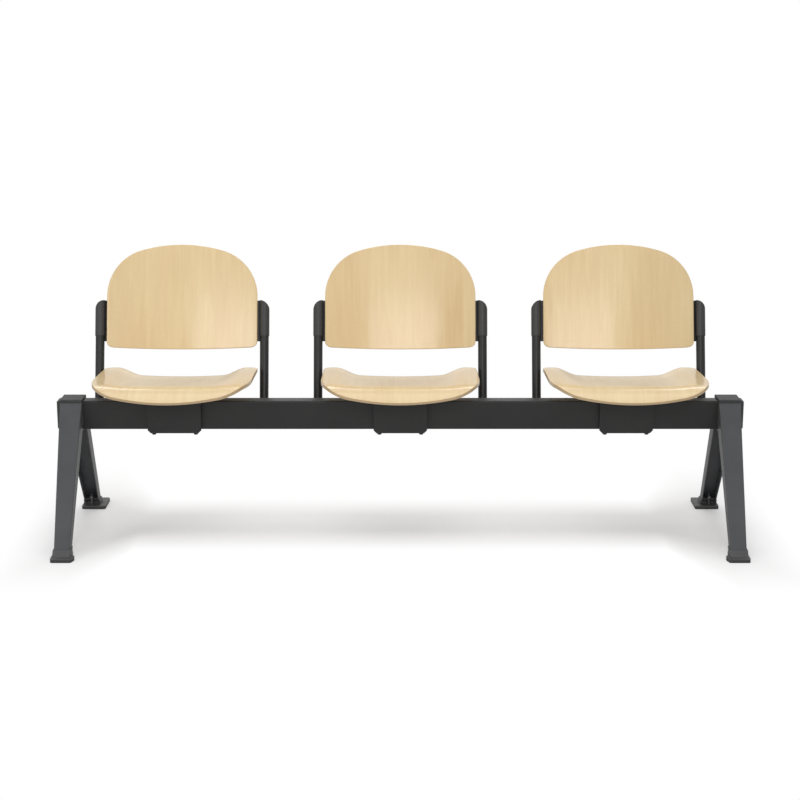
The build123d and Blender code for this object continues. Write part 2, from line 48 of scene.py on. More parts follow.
# Moulded panels, millimetres and degrees
MM = 0.001
PLY = 11.0
EDGE_ROUND = 1.8
SEAT_HALF = 214.3
SEAT_REAR_Y = 172.0
SEAT_REAR_Z = 401.9
SEAT_SLOPE = 7.5
SEAT_FLAT = 302.0
KNEE_RADIUS = 95.0
LIP_ANGLE = 40.0
LIP_LENGTH = 8.5
DISH = 8.5
WING_RISE = 17.1
WING_LENGTH = 380.0
WING_START = 112.0
WING_TOP = 180.0
FRONT_BOW = 534.0
FRONT_CORNER = 105.0
FRONT_TILT = 70.0
REAR_CORNER = 28.5
BACK_LEAN = 17.0
BACK_Y = 210.0
BACK_Z = 576.0
BACK_HALF = 212.7
BACK_BOW = 20.0
BACK_EDGE_N = -8.0
BACK_TOP = 191.5
BACK_BOTTOM = -104.3
BACK_BOTTOM_BOW = 8.0
BACK_TOP_RADIUS = 430.0
BACK_SHOULDER = 132.0
BACK_CORNER = 17.0
BACK_RADIUS = (BACK_HALF**2 + BACK_BOW**2) / (2 * BACK_BOW)
BACK_CENTRE_N = BACK_EDGE_N - BACK_BOW + BACK_RADIUS
KNEE_TURN = math.radians(SEAT_SLOPE + LIP_ANGLE)
SEAT_LENGTH = SEAT_FLAT + KNEE_RADIUS * KNEE_TURN + LIP_LENGTH

# Powers that hold the wing's height at the rear and fade it towards the front
WING_HOLD = 1.4
WING_FADE = 1.3

# Grid of a panel, the point its rings shrink to in millimetres, and its start on the veneer sheet in metres
PANEL_CELLS = 64
OUTLINE_STEPS = 4 * PANEL_CELLS
ARC_STEPS = 24
SHOULDER_STEPS = 48
SEARCH_STEPS = 40
SAME_RING = 1e-6
SEAT_EYE = (0.0, SEAT_FLAT / 2)
BACK_EYE = (0.0, 40.0)
SEAT_SHEET = 0.0
BACK_SHEET = 3.0

# Fasteners, millimetres, and the welding distance in metres
WELD = 1e-6
GAP = 0.3
CUT_PAST = 1.0
LEG_X = 896.0
BEAM_BOTTOM = 296.0
BEAM_TOP = 376.0
BOLT_HEAD = 5.3
BOLT_X = 57.0
BOLT_Y = 26.5
BOLT_SPARE = 2.0
NECK_SINK = 0.5
CLAMP_THICK = 7.0
CLAMP_R = 3.0
CLAMP_FLATS = 10.0
CLAMP_PITCH = 1.0
CLAMP_THREAD = 28.0
CLAMP_NUT = 5.2
BRACKET_SHEET = 3.0
TIE_THICK = 6.0
TIE_BOLT_X = 10.0
TIE_LENGTH = 15.0
TIE_NECK = 2.0
FRAME_R = 4.0
FRAME_FLATS = 13.0
FRAME_PITCH = 1.25
FRAME_NUT = 6.5
STUD_Y = 217.0
STUD_START = 5.0
STUD_LENGTH = 38.0
STUD_NUT_Z = 30.0
SCREW_R = 3.0
SCREW_PITCH = 1.5
SCREW_HEAD_R = 6.0
SCREW_HEAD = 3.5
SCREW_ROUND = 1.3
SCREW_BITE = 6.5
RECESS_LENGTH = 6.4
RECESS_WIDTH = 1.3
RECESS_DEPTH = 2.0
CARRIER_SHEET = 3.0
TAB_THICK = 4.0
SEAT_SCREW_X = 45.0
SEAT_SCREW_S = (80.0, 250.0)
BACK_SCREW_X = 201.7
BACK_SCREW_S = (-56.0, 10.0)

# Threads and hexagons: depth and gap as shares of the pitch, corners of the flats, the rest in millimetres
THREAD_DEPTH = 0.62
THREAD_GAP = 0.04
CORNER_START = 0.475
THREAD_OVERLAP = 0.05
THREAD_LEAD = 0.5

# Fineness of round pieces, and the angles in degrees from which an edge is rounded or kept sharp
ROD_SIDES = 32
HEAD_SIDES = 48
THREAD_SIDES = 20
CORE_SIDES = 24
ROUND_FROM = 60.0
BOOT_ROUND_FROM = 40.0
SHARP_FROM = 35.0
SCREW_SHARP_FROM = 40.0
BOOT_SHARP_FROM = 30.0

# Boots, millimetres: x from the leg's middle towards the bench's, y with the toe at the low end
LEG_RUN = math.tan(math.radians(31.7))
BOOT_FACE = -268.2
BOOT_DEPTH = 40.0
BOOT_ROUND = 0.8
SOLE_TOP = 9.8
SOLE_CORNER = 4.5
SOLE_RIM = 1.8
FRONT_SOLE = (
    (-25.2, -282.0), (29.0, -282.0), (34.8, -262.0), (33.5, -249.0), (24.0, -243.0),
    (20.5, -204.0), (-20.5, -204.0), (-26.7, -240.0), (-26.7, -273.0),
)
REAR_SOLE = ((-26.5, -290.0), (40.5, -290.0), (40.5, -202.7), (-27.5, -202.7))
FRONT_FIX = (24.5, -271.0)
REAR_FIX = (28.0, -234.0)
FRONT_HEEL = -214.0
REAR_HEEL = -150.0
FIX_HOLE = 2.75
FIX_DRILL = (-5.0, 20.0)
STUD_DRILL_TOP = 60.0

# Each boot's sole, floor fixing, end of the heel, and -1 where it is turned to the rear
BOOTS = {
    "front": (FRONT_SOLE, FRONT_FIX, FRONT_HEEL, 1),
    "rear": (REAR_SOLE, REAR_FIX, REAR_HEEL, -1),
}

# Rings of the boot, low and high: height, half width outwards and inwards, and how far the front swells
FLARE_RINGS = ((5.0, 26.7, 24.0, 4.5), (15.5, 23.5, 23.5, 0.6))
SHELL_RINGS = ((12.5, 23.4, 23.4, 0.4), (25.8, 23.2, 23.2, 0.4))

# Room for the leg in the boot, low and high: height, two x and two y
LEG_ROOM = ((9.9, -21.0, 21.0, -259.3, -100.0), (40.0, -21.6, 21.6, -240.7, -100.0))

# Core of the foot that stays: half width, front face, lowest and highest point
CORE_HALF = 23.0
CORE_FRONT = -266.0
CORE_LOW = 1.0
CORE_HIGH = 25.6

# Beech figure: shares of the tone, then where each mask starts and is full
FIGURE_SHARES = (0.32, 0.36, 0.2, 0.12)
TONE_RANGE = (0.3, 0.7)
FLECK_RANGE = (0.62, 0.72)
BLUSH_RANGE = (0.4, 0.65)
LEAVES_IN_METRE = 11.0
LEAF_WANDER = 0.012
BEECH_DARK = (0.7, 0.5, 0.243, 1)
BEECH_LIGHT = (0.84, 0.665, 0.372, 1)
BEECH_BLUSH = (0.77, 0.55, 0.305, 1)
BEECH_FLECK = (0.5, 0.31, 0.14, 1)
BLUSH_SHARE = 0.35
FLECK_SHARE = 0.22
LACQUER_ROUGH = (0.52, 0.44)
LACQUER_COAT = 0.58
LACQUER_COAT_ROUGH = 0.14

# Plywood edge, lengths in metres
PLY_LAYERS = 9
PLY_WANDER = 0.0002
GLUE_RANGE = (0.4, 0.5)
EDGE_RANGE = (0.0005, 0.0009)
PLY_LENGTHWISE = (0.62, 0.46, 0.26, 1)
PLY_CROSSWISE = (0.44, 0.305, 0.165, 1)
PLY_GLUE = (0.24, 0.15, 0.08, 1)
GLUE_SHARE = 0.6
EDGE_ROUGHER = 0.2

# Paint, plastic and plating: grains in a metre, swings of the roughness, the sole's dark band in metres
CLOUD_SCALE = 7.0
CLOUD_RANGE = (0.3, 0.7)
SPECK_SCALE = 1500.0
SPECK_RANGE = (0.66, 0.74)
SPECK_COLOUR = (0.06, 0.06, 0.062, 1)
SPECK_SHARE = 0.25
COAT_GRAIN = 850.0
COAT_SWING = (-0.03, 0.05)
COAT_SPECULAR = 0.35
PLASTIC_GRAIN = 1700.0
PLASTIC_SWING = (-0.04, 0.06)
PLATE_GRAIN = 600.0
PLATE_SWING = (-0.06, 0.08)
PLATE_RANGE = (0.3, 0.7)
SOLE_BAND = (0.0074, 0.0092)

# Camera: metres, degrees, millimetres of film, and the picture's width in pixels
CAMERA_PLACE = (0.0, -4.6348, 1.4763)
CAMERA_PITCH = 13.4
CAMERA_LENS = 78.31
CAMERA_FILM = 36.0
PICTURE_WIDTH = 800
CAMERA_SHIFT = (-0.3 / PICTURE_WIDTH, 0.6 / PICTURE_WIDTH)

# Room, metres; the floor fades to white outside the shadow, which is wider near the feet
FLOOR_SIZE = 40.0
FLOOR_DARK = (0.86, 0.86, 0.86, 1)
FLOOR_LIGHT = (0.9, 0.9, 0.9, 1)
FLOOR_ROUGH = 0.9
FLOOR_SPECULAR = 0.1
FLOOR_LIFT = 0.12
SHADOW_MIDDLE = 0.07
SHADOW_DEPTH = (0.07, 0.24)
SHADOW_WIDTH = (0.88, 1.06)
SHADOW_BLEND = 0.2
FOOT_REACH = (0.72, 0.86)
FOOT_WIDENING = 0.34
FOOT_START = 0.3
ROOM_LIGHT = 0.46
ROOM_SHINE = 0.4

# Lamps: place, aim, width, height and power
SOFTBOXES = {
    "front_softbox": ((0.1, -4.0, 1.88), (0, 0.15, 0.62), 1.84, 1.05, 42.5),
    "left_fill": ((-2.9, -2.0, 1.5), (-0.7, 0.15, 0.6), 1.0, 1.0, 12),
    "overhead": ((0, 0.2, 2.9), (0, 0.05, 0.3), 2.6, 1.7, 26),
    "back_strip": ((0, 2.6, 2.5), (0, 0, 0.45), 3.4, 0.5, 22),
}


# Shared modelling steps


def start_fresh():
    if bpy.context.object and bpy.context.object.mode != "OBJECT":
        bpy.ops.object.mode_set(mode="OBJECT")
    bpy.ops.object.select_all(action="DESELECT")


def use(piece):
    start_fresh()
    piece.select_set(True)
    bpy.context.view_layer.objects.active = piece


def finish_with(piece, kind, **settings):
    use(piece)
    modifier = piece.modifiers.new(kind.lower(), kind)
    for name, value in settings.items():
        setattr(modifier, name, value)
    bpy.ops.object.modifier_apply(modifier=modifier.name)


def soften(piece, width, segments=3, angle=ROUND_FROM):
    limit = math.radians(angle)
    finish_with(piece, "BEVEL", width=width * MM, segments=segments, limit_method="ANGLE", angle_limit=limit)
    return piece


def weld(piece):
    """Merges doubled points, drops faces without area and turns the rest outwards."""
    use(piece)
    bpy.ops.object.mode_set(mode="EDIT")
    bpy.ops.mesh.select_all(action="SELECT")
    bpy.ops.mesh.remove_doubles(threshold=WELD)
    bpy.ops.mesh.fill_holes(sides=3)
    bpy.ops.mesh.quads_convert_to_tris(ngon_method="BEAUTY")
    bpy.ops.mesh.dissolve_degenerate(threshold=WELD)
    bpy.ops.mesh.normals_make_consistent(inside=False)
    bpy.ops.object.mode_set(mode="OBJECT")


def crisp(piece, angle=SHARP_FROM):
    weld(piece)
    bpy.ops.object.mode_set(mode="EDIT")
    bpy.ops.mesh.select_all(action="DESELECT")
    bpy.ops.mesh.edges_select_sharp(sharpness=math.radians(angle))
    bpy.ops.mesh.mark_sharp()
    bpy.ops.object.mode_set(mode="OBJECT")
    bpy.ops.object.shade_smooth()


def merge(pieces):
    start_fresh()
    for piece in pieces:
        piece.select_set(True)
    bpy.context.view_layer.objects.active = pieces[0]
    bpy.ops.object.join()
    return bpy.context.object


def carve(piece, tool, operation):
    finish_with(piece, "BOOLEAN", object=tool, operation=operation, solver="EXACT")
    bpy.data.objects.remove(tool)


def at(x, y, z):
    return Matrix.Translation((x * MM, y * MM, z * MM))


def cylinder(radius, low, high, sides=ROD_SIDES, turn=0.0):
    start_fresh()
    bpy.ops.mesh.primitive_cylinder_add(
        vertices=sides,
        radius=radius * MM,
        depth=(high - low) * MM,
        location=(0, 0, (low + high) / 2 * MM),
        rotation=(0, 0, turn),
    )
    bpy.ops.object.transform_apply(location=True, rotation=True, scale=True)
    return bpy.context.object


def drill(x, y, radius, low, high):
    rod = cylinder(radius, low, high)
    rod.data.transform(at(x, y, 0))
    return rod


def tapered(base, top):
    """A block with two level ends, each given by its height, two x and two y."""
    start_fresh()
    bpy.ops.mesh.primitive_cube_add(size=2)
    block = bpy.context.object
    for vertex in block.data.vertices:
        z, x0, x1, y0, y1 = top if vertex.co.z > 0 else base
        x = x1 if vertex.co.x > 0 else x0
        y = y1 if vertex.co.y > 0 else y0
        vertex.co = Vector((x, y, z)) * MM
    return block


def dress(piece, name, material, slot, *nodes):
    piece.name = name
    piece.data.name = name
    piece.data.materials.clear()
    piece.data.materials.append(material)
    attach(piece, "root")
    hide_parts(*nodes)


# Plywood panels: a grid is laid inside the outline, placed on the moulded face, then given its thickness


def along(points, share):
    """The place that lies at this share of the line's length."""
    lengths = [0.0]
    for a, b in zip(points, points[1:]):
        lengths.append(lengths[-1] + math.dist(a, b))
    target = share * lengths[-1]
    for i in range(1, len(points)):
        if lengths[i] >= target:
            step = lengths[i] - lengths[i - 1]
            t = (target - lengths[i - 1]) / step if step else 0.0
            (ax, ay), (bx, by) = points[i - 1], points[i]
            return ax + (bx - ax) * t, ay + (by - ay) * t
    return points[-1]


def spread(sides):
    """Each side of an outline with its points at equal steps."""
    return [[along(side, i / OUTLINE_STEPS) for i in range(OUTLINE_STEPS + 1)] for side in sides]


def mirrored(points):
    return [(-x, s) for x, s in reversed(points)]


def ring_place(sides, eye, u, v):
    """Grid cell (u, v) to a place inside the outline; the grid's rings become smaller copies of it."""
    k = max(abs(u), abs(v))
    if k < SAME_RING:
        return eye
    if abs(v + k) < SAME_RING:
        side, t = 0, (u / k + 1) / 2
    elif abs(u - k) < SAME_RING:
        side, t = 1, (v / k + 1) / 2
    elif abs(v - k) < SAME_RING:
        side, t = 2, (1 - u / k) / 2
    else:
        side, t = 3, (1 - v / k) / 2
    x, s = along(sides[side], t)
    return eye[0] + k * (x - eye[0]), eye[1] + k * (s - eye[1])


def arc(cx, cy, radius, start, end, steps=ARC_STEPS):
    points = []
    for i in range(steps + 1):
        a = math.radians(start + (end - start) * i / steps)
        points.append((cx + radius * math.cos(a), cy + radius * math.sin(a)))
    return points


def moulded_panel(sides, eye, place):
    start_fresh()
    bpy.ops.mesh.primitive_grid_add(x_subdivisions=PANEL_CELLS, y_subdivisions=PANEL_CELLS, size=2)
    panel = bpy.context.object
    for vertex in panel.data.vertices:
        x, s = ring_place(sides, eye, vertex.co.x, vertex.co.y)
        vertex.co = place(x, s)
    finish_with(
        panel, "SOLIDIFY", thickness=PLY * MM, offset=-1, use_even_offset=True, use_quality_normals=True
    )
    soften(panel, EDGE_ROUND)
    use(panel)
    bpy.ops.object.shade_smooth()
    finish_with(panel, "WEIGHTED_NORMAL", keep_sharp=False)
    return panel


def write_veneer(panel, address, offset):
    """Stores where each point lies on the veneer sheet, and how deep in the plywood."""
    mesh = panel.data
    while mesh.uv_layers:
        mesh.uv_layers.remove(mesh.uv_layers[0])
    sheet = mesh.uv_layers.new(name="veneer")
    depth = mesh.attributes.new("ply_depth", "FLOAT", "POINT")
    places = [address(vertex.co) for vertex in mesh.vertices]
    for vertex, (_, deep) in zip(mesh.vertices, places):
        depth.data[vertex.index].value = deep * MM
    for loop in mesh.loops:
        vertex = mesh.vertices[loop.vertex_index]
        s, _ = places[loop.vertex_index]
        sheet.data[loop.index].uv = (vertex.co.x, offset + s * MM)


# Seat panel: s runs forwards along the moulded face from the rear edge


def seat_line(s):
    """The seat's middle line: a flat, the knee and the lip, with the turn at s."""
    if s <= SEAT_FLAT:
        return -s, 0.0, 0.0
    turn = min((s - SEAT_FLAT) / KNEE_RADIUS, KNEE_TURN)
    rest = s - SEAT_FLAT - turn * KNEE_RADIUS
    y = -SEAT_FLAT - KNEE_RADIUS * math.sin(turn) - rest * math.cos(turn)
    z = -KNEE_RADIUS * (1 - math.cos(turn)) - rest * math.sin(turn)
    return y, z, turn


def wing(x, s):
    """How far the moulded face rises above the flat."""
    reach = min(abs(x), WING_TOP)
    ramp = max(reach - WING_START, 0) / (WING_TOP - WING_START)
    rise = DISH * (reach / WING_TOP) ** 2 + WING_RISE * (0.5 - 0.5 * math.cos(math.pi * ramp))
    run = min(max(s, 0) / WING_LENGTH, 1)
    return rise * (1 - run**WING_HOLD) ** WING_FADE


def seat_point(x, s):
    y, z, turn = seat_line(s)
    lift = wing(x, s)
    return y - lift * math.sin(turn), z + lift * math.cos(turn)


def front_s(x, level):
    """How far forward the panel runs at x, where the tilted front cut meets the moulded face."""
    lip_y, lip_z, _ = seat_line(SEAT_LENGTH)
    tilt = math.radians(FRONT_TILT - SEAT_SLOPE)
    low, high = 0.0, SEAT_LENGTH + 2 * PLY
    for _ in range(SEARCH_STEPS):
        middle = (low + high) / 2
        y, z = seat_point(x, middle)
        here = (y - lip_y) * math.cos(tilt) + (z - lip_z) * math.sin(tilt)
        if here > level:
            low = middle
        else:
            high = middle
    return low


def seat_sides():
    side = SEAT_HALF - FRONT_CORNER
    corner = FRONT_BOW - math.sqrt((FRONT_BOW - FRONT_CORNER) ** 2 - side**2)
    aim = math.degrees(math.asin(side / (FRONT_BOW - FRONT_CORNER)))
    bow = arc(0, FRONT_BOW, FRONT_BOW, -90, -90 + aim)
    turn = arc(side, corner, FRONT_CORNER, -90 + aim, 0)
    split = len(turn) // 2
    half_front = [(x, front_s(x, y)) for x, y in bow + turn[1 : split + 1]]
    shoulder = [(x, front_s(x, y)) for x, y in turn[split:]]
    rear = arc(SEAT_HALF - REAR_CORNER, REAR_CORNER, REAR_CORNER, 0, -90)
    cut = len(rear) // 2
    right = shoulder + rear[: cut + 1]
    half_rear = rear[cut:] + [(0.0, 0.0)]
    front = mirrored(half_front) + half_front[1:]
    top = half_rear + mirrored(half_rear[:-1])
    return spread([front, right, top, mirrored(right)])


def seat_matrix(x):
    turn = Matrix.Rotation(-math.radians(SEAT_SLOPE), 4, "X")
    return Matrix.Translation((x, SEAT_REAR_Y * MM, SEAT_REAR_Z * MM)) @ turn


def seat_shell(x):
    frame_here = seat_matrix(x)
    back_home = frame_here.inverted()

    def place(px, s):
        y, z = seat_point(px, s)
        return frame_here @ Vector((px * MM, y * MM, z * MM))

    def address(point):
        px, y, z = back_home @ point / MM
        if y > -SEAT_FLAT:
            across = wing(px + 1, -y) - wing(px - 1, -y)
            forwards = wing(px, 1 - y) - wing(px, -1 - y)
            slope = math.hypot(across, forwards) / 2
            return -y, (wing(px, -y) - z) / math.hypot(1, slope)
        turn = math.atan2(-SEAT_FLAT - y, z + KNEE_RADIUS)
        reach = math.hypot(-SEAT_FLAT - y, z + KNEE_RADIUS)
        if turn <= KNEE_TURN:
            s, deep = SEAT_FLAT + KNEE_RADIUS * turn, KNEE_RADIUS - reach
        else:
            s = SEAT_FLAT + KNEE_RADIUS * KNEE_TURN + reach * math.sin(turn - KNEE_TURN)
            deep = KNEE_RADIUS - reach * math.cos(turn - KNEE_TURN)
        return s, deep + wing(px, s)

    panel = moulded_panel(SEAT_SIDES, SEAT_EYE, place)
    write_veneer(panel, address, SEAT_SHEET)
    return panel


# Back panel: s runs upwards along the leaning panel, n from front to back across it


def back_sides():
    side = BACK_HALF - BACK_SHOULDER
    crown = BACK_TOP - BACK_TOP_RADIUS
    shoulder = crown + math.sqrt((BACK_TOP_RADIUS - BACK_SHOULDER) ** 2 - side**2)
    aim = math.degrees(math.asin(side / (BACK_TOP_RADIUS - BACK_SHOULDER)))
    bottom_radius = (BACK_HALF**2 + BACK_BOTTOM_BOW**2) / (2 * BACK_BOTTOM_BOW)
    bottom_centre = BACK_BOTTOM + bottom_radius
    inner = BACK_HALF - BACK_CORNER
    corner = bottom_centre - math.sqrt((bottom_radius - BACK_CORNER) ** 2 - inner**2)
    dip = math.degrees(math.asin(inner / (bottom_radius - BACK_CORNER)))
    low = arc(inner, corner, BACK_CORNER, -90 + dip, 0)
    high = arc(side, shoulder, BACK_SHOULDER, 0, 90 - aim, SHOULDER_STEPS)
    cut, split = len(low) // 2, len(high) // 2
    half_bottom = arc(0, bottom_centre, bottom_radius, -90, -90 + dip) + low[1 : cut + 1]
    right = low[cut:] + high[: split + 1]
    half_top = high[split:] + arc(0, crown, BACK_TOP_RADIUS, 90 - aim, 90)[1:]
    bottom = mirrored(half_bottom) + half_bottom[1:]
    top = half_top + mirrored(half_top[:-1])
    return spread([bottom, right, top, mirrored(right)])


def back_matrix(x):
    turn = Matrix.Rotation(-math.radians(BACK_LEAN), 4, "X")
    return Matrix.Translation((x, BACK_Y * MM, BACK_Z * MM)) @ turn


def back_shell(x):
    frame_here = back_matrix(x)
    back_home = frame_here.inverted()

    def place(px, s):
        n = BACK_CENTRE_N - math.sqrt(BACK_RADIUS**2 - px**2)
        return frame_here @ Vector((px * MM, n * MM, s * MM))

    def address(point):
        px, n, s = back_home @ point / MM
        return s, BACK_RADIUS - math.hypot(px, BACK_CENTRE_N - n)

    panel = moulded_panel(BACK_SIDES, BACK_EYE, place)
    write_veneer(panel, address, BACK_SHEET)
    return panel


# Fasteners: each kind is made once along z, with its head's seat at z = 0, then copied to its places


def corner_cone(flats, low, high):
    """A cone that opens upwards by 60 degrees from the axis, to turn off a hexagon's corners."""
    start_fresh()
    start = CORNER_START * flats
    end = start + (high - low) * math.sqrt(3)
    bpy.ops.mesh.primitive_cone_add(
        vertices=HEAD_SIDES,
        radius1=start * MM,
        radius2=end * MM,
        depth=(high - low) * MM,
        location=(0, 0, (low + high) / 2 * MM),
    )
    bpy.ops.object.transform_apply(location=True, rotation=True, scale=True)
    return bpy.context.object


def hexagon(flats, low, high):
    """A hexagon block whose corners are turned off at the low end."""
    block = cylinder(flats / math.sqrt(3), low, high, sides=6, turn=math.radians(30))
    carve(block, corner_cone(flats, low, high), "INTERSECT")
    return block


def thread(radius, pitch, low, high):
    """A ridge wound round a plain core."""
    start_fresh()
    bpy.ops.mesh.primitive_circle_add(vertices=3, radius=MM, fill_type="NOTHING")
    ridge = bpy.context.object
    root = radius - THREAD_DEPTH * pitch
    profile = ((root, THREAD_GAP * pitch), (radius, 0.5 * pitch), (root, (1 - THREAD_GAP) * pitch))
    for vertex, (r, z) in zip(ridge.data.vertices, profile):
        vertex.co = Vector((r, 0, low + z)) * MM
    finish_with(
        ridge,
        "SCREW",
        axis="Z",
        angle=2 * math.pi,
        screw_offset=pitch * MM,
        iterations=int((high - low) / pitch) - 1,
        steps=THREAD_SIDES,
        render_steps=THREAD_SIDES,
    )
    weld(ridge)
    core = cylinder(root + THREAD_OVERLAP, low, high, CORE_SIDES)
    soften(core, THREAD_LEAD, 2)
    return merge([ridge, core])


def bolt(radius, flats, pitch, length, plain):
    head = hexagon(flats, -BOLT_HEAD, 0.0)
    crisp(head)
    neck = cylinder(radius, -NECK_SINK, plain)
    crisp(neck)
    return merge([head, neck, thread(radius, pitch, plain, length)])


def nut(radius, flats, low, high):
    block = hexagon(flats, low, high)
    block.data.transform(at(0, 0, low + high) @ Matrix.Rotation(math.pi, 4, "X"))
    carve(block, corner_cone(flats, low, high), "INTERSECT")
    carve(block, cylinder(radius + GAP, low - CUT_PAST, high + CUT_PAST), "DIFFERENCE")
    crisp(block)
    return block


def recess_bar(length, width):
    sides = (-length / 2, length / 2, -width / 2, width / 2)
    return tapered((-SCREW_HEAD - CUT_PAST, *sides), (RECESS_DEPTH - SCREW_HEAD, *sides))


def panel_screw():
    """A pan-head screw with a cross recess; its head lies below z = 0 and its thread bites upwards."""
    head = cylinder(SCREW_HEAD_R, -SCREW_HEAD, 0.0, HEAD_SIDES)
    soften(head, SCREW_ROUND, 4)
    carve(head, recess_bar(RECESS_LENGTH, RECESS_WIDTH), "DIFFERENCE")
    carve(head, recess_bar(RECESS_WIDTH, RECESS_LENGTH), "DIFFERENCE")
    crisp(head, SCREW_SHARP_FROM)
    grip = GAP + CARRIER_SHEET
    return merge([head, thread(SCREW_R, SCREW_PITCH, -NECK_SINK, grip + SCREW_BITE)])


def back_screw():
    screw = panel_screw()
    screw.data.transform(at(0, 0, -GAP))
    return screw


def foot_stud():
    fixed = nut(FRAME_R - GAP, FRAME_FLATS, STUD_NUT_Z, STUD_NUT_Z + FRAME_NUT)
    return merge([fixed, thread(FRAME_R, FRAME_PITCH, STUD_START, STUD_START + STUD_LENGTH)])


def make_masters():
    reach = BEAM_TOP + BRACKET_SHEET + CLAMP_NUT + BOLT_SPARE - BEAM_BOTTOM + CLAMP_THICK
    return {
        "clamp_bolt": bolt(CLAMP_R, CLAMP_FLATS, CLAMP_PITCH, reach, reach - CLAMP_THREAD),
        "clamp_nut": nut(CLAMP_R, CLAMP_FLATS, 0.0, CLAMP_NUT),
        "leg_tie_bolt": bolt(FRAME_R, FRAME_FLATS, FRAME_PITCH, TIE_LENGTH, TIE_NECK),
        "seat_screw": panel_screw(),
        "back_screw": back_screw(),
        "foot_stud": foot_stud(),
    }


def lay_out(kind, places, where):
    """Copies a fastener to its places and joins the copies to one piece."""
    copies = []
    for place in places:
        use(MASTERS[kind])
        bpy.ops.object.duplicate()
        copy = bpy.context.object
        copy.data.transform(place)
        copies.append(copy)
    node = kind + "s_" + where
    dress(merge(copies), kind + "_set_" + where, FINISHES[kind + "s"], FASTENER_SLOTS[kind], node)


def back_screw_place(middle, x, s):
    aim = math.asin(x / BACK_RADIUS)
    tab = BACK_RADIUS - PLY - GAP - TAB_THICK
    turn = at(0, BACK_CENTRE_N, s) @ Matrix.Rotation(aim, 4, "Z") @ at(0, -tab, 0)
    return back_matrix(middle) @ turn @ Matrix.Rotation(math.radians(90), 4, "X")


def on_both_sides(x, others):
    """Pairs of x and another measure, at -x first."""
    return [(side, other) for side in (-x, x) for other in others]


def seat_fasteners(where, middle):
    centre = middle / MM
    corners = [(centre + x, y) for x, y in on_both_sides(BOLT_X, (-BOLT_Y, BOLT_Y))]
    under = BEAM_BOTTOM - CLAMP_THICK
    roof = BEAM_TOP + BRACKET_SHEET
    plate = -PLY - GAP - CARRIER_SHEET
    lay_out("clamp_bolt", [at(x, y, under) for x, y in corners], where)
    lay_out("clamp_nut", [at(x, y, roof) for x, y in corners], where)
    spots = on_both_sides(SEAT_SCREW_X, SEAT_SCREW_S)
    lay_out("seat_screw", [seat_matrix(middle) @ at(x, -s, plate) for x, s in spots], where)
    spots = on_both_sides(BACK_SCREW_X, BACK_SCREW_S)
    lay_out("back_screw", [back_screw_place(middle, x, s) for x, s in spots], where)


def end_fasteners(where, centre):
    under = BEAM_BOTTOM - TIE_THICK
    lay_out("leg_tie_bolt", [at(centre + x, 0, under) for x in (-TIE_BOLT_X, TIE_BOLT_X)], where)
    lay_out("foot_stud", [at(centre, y, 0) for y in (-STUD_Y, STUD_Y)], where)


# Boots: the foot's core is kept, and a flared shell with a level top and a sole go round it


def boot_ring(z, outer, inner, swell):
    face = BOOT_FACE + LEG_RUN * z
    return z, -outer, inner, face - swell, face + BOOT_DEPTH


def boot_block(rings):
    low, high = rings
    return soften(tapered(boot_ring(*low), boot_ring(*high)), BOOT_ROUND, angle=BOOT_ROUND_FROM)


def boot_sole(outline):
    start_fresh()
    bpy.ops.mesh.primitive_circle_add(vertices=len(outline), radius=MM, fill_type="NGON")
    sole = bpy.context.object
    for vertex, (x, y) in zip(sole.data.vertices, outline):
        vertex.co = Vector((x, y, 0)) * MM
    finish_with(sole, "BEVEL", affect="VERTICES", width=SOLE_CORNER * MM, segments=5, limit_method="NONE")
    weld(sole)
    finish_with(sole, "SOLIDIFY", thickness=SOLE_TOP * MM, offset=1)
    low = min(vertex.co.z for vertex in sole.data.vertices)
    sole.data.transform(Matrix.Translation((0, 0, -low)))
    return soften(sole, SOLE_RIM, angle=BOOT_ROUND_FROM)


def flared_boot(node, home, outline, fix, heel):
    """home carries the model boot, the left front one, from its leg's middle to its corner of the bench."""
    boot = bpy.data.objects.new(node + "_core", NODES[node].data.copy())
    bpy.context.scene.collection.objects.link(boot)
    boot.data.transform(home.inverted())
    weld(boot)
    core = (-CORE_HALF, CORE_HALF, CORE_FRONT, heel)
    carve(boot, tapered((CORE_LOW, *core), (CORE_HIGH, *core)), "INTERSECT")
    shell = boot_block(SHELL_RINGS)
    carve(shell, boot_block(FLARE_RINGS), "UNION")
    carve(shell, tapered(*LEG_ROOM), "DIFFERENCE")
    sole = boot_sole(outline)
    carve(sole, drill(0, -STUD_Y, FRAME_R + 2 * GAP, STUD_START - GAP, STUD_DRILL_TOP), "DIFFERENCE")
    carve(shell, sole, "UNION")
    carve(boot, shell, "UNION")
    carve(boot, drill(*fix, FIX_HOLE, *FIX_DRILL), "DIFFERENCE")
    boot.data.transform(home)
    crisp(boot, BOOT_SHARP_FROM)
    return boot


# Material helpers


def link(tree, source, target):
    tree.links.new(source, target)


def add(tree, kind, **settings):
    made = tree.nodes.new(kind)
    for name, value in settings.items():
        setattr(made, name, value)
    return made


def feed(tree, socket, value):
    if isinstance(value, bpy.types.NodeSocket):
        link(tree, value, socket)
    else:
        socket.default_value = value


def calc(tree, operation, *values):
    made = add(tree, "ShaderNodeMath", operation=operation)
    for socket, value in zip(made.inputs, values):
        feed(tree, socket, value)
    return made.outputs[0]


def spread_range(tree, value, low, high, to_low=0.0, to_high=1.0):
    made = add(tree, "ShaderNodeMapRange", clamp=True)
    for socket, given in zip(made.inputs, (value, low, high, to_low, to_high)):
        feed(tree, socket, given)
    return made.outputs[0]


def blend_colour(tree, share, a, b):
    made = add(tree, "ShaderNodeMix", data_type="RGBA")
    feed(tree, made.inputs[0], share)
    feed(tree, made.inputs[6], a)
    feed(tree, made.inputs[7], b)
    return made.outputs[2]


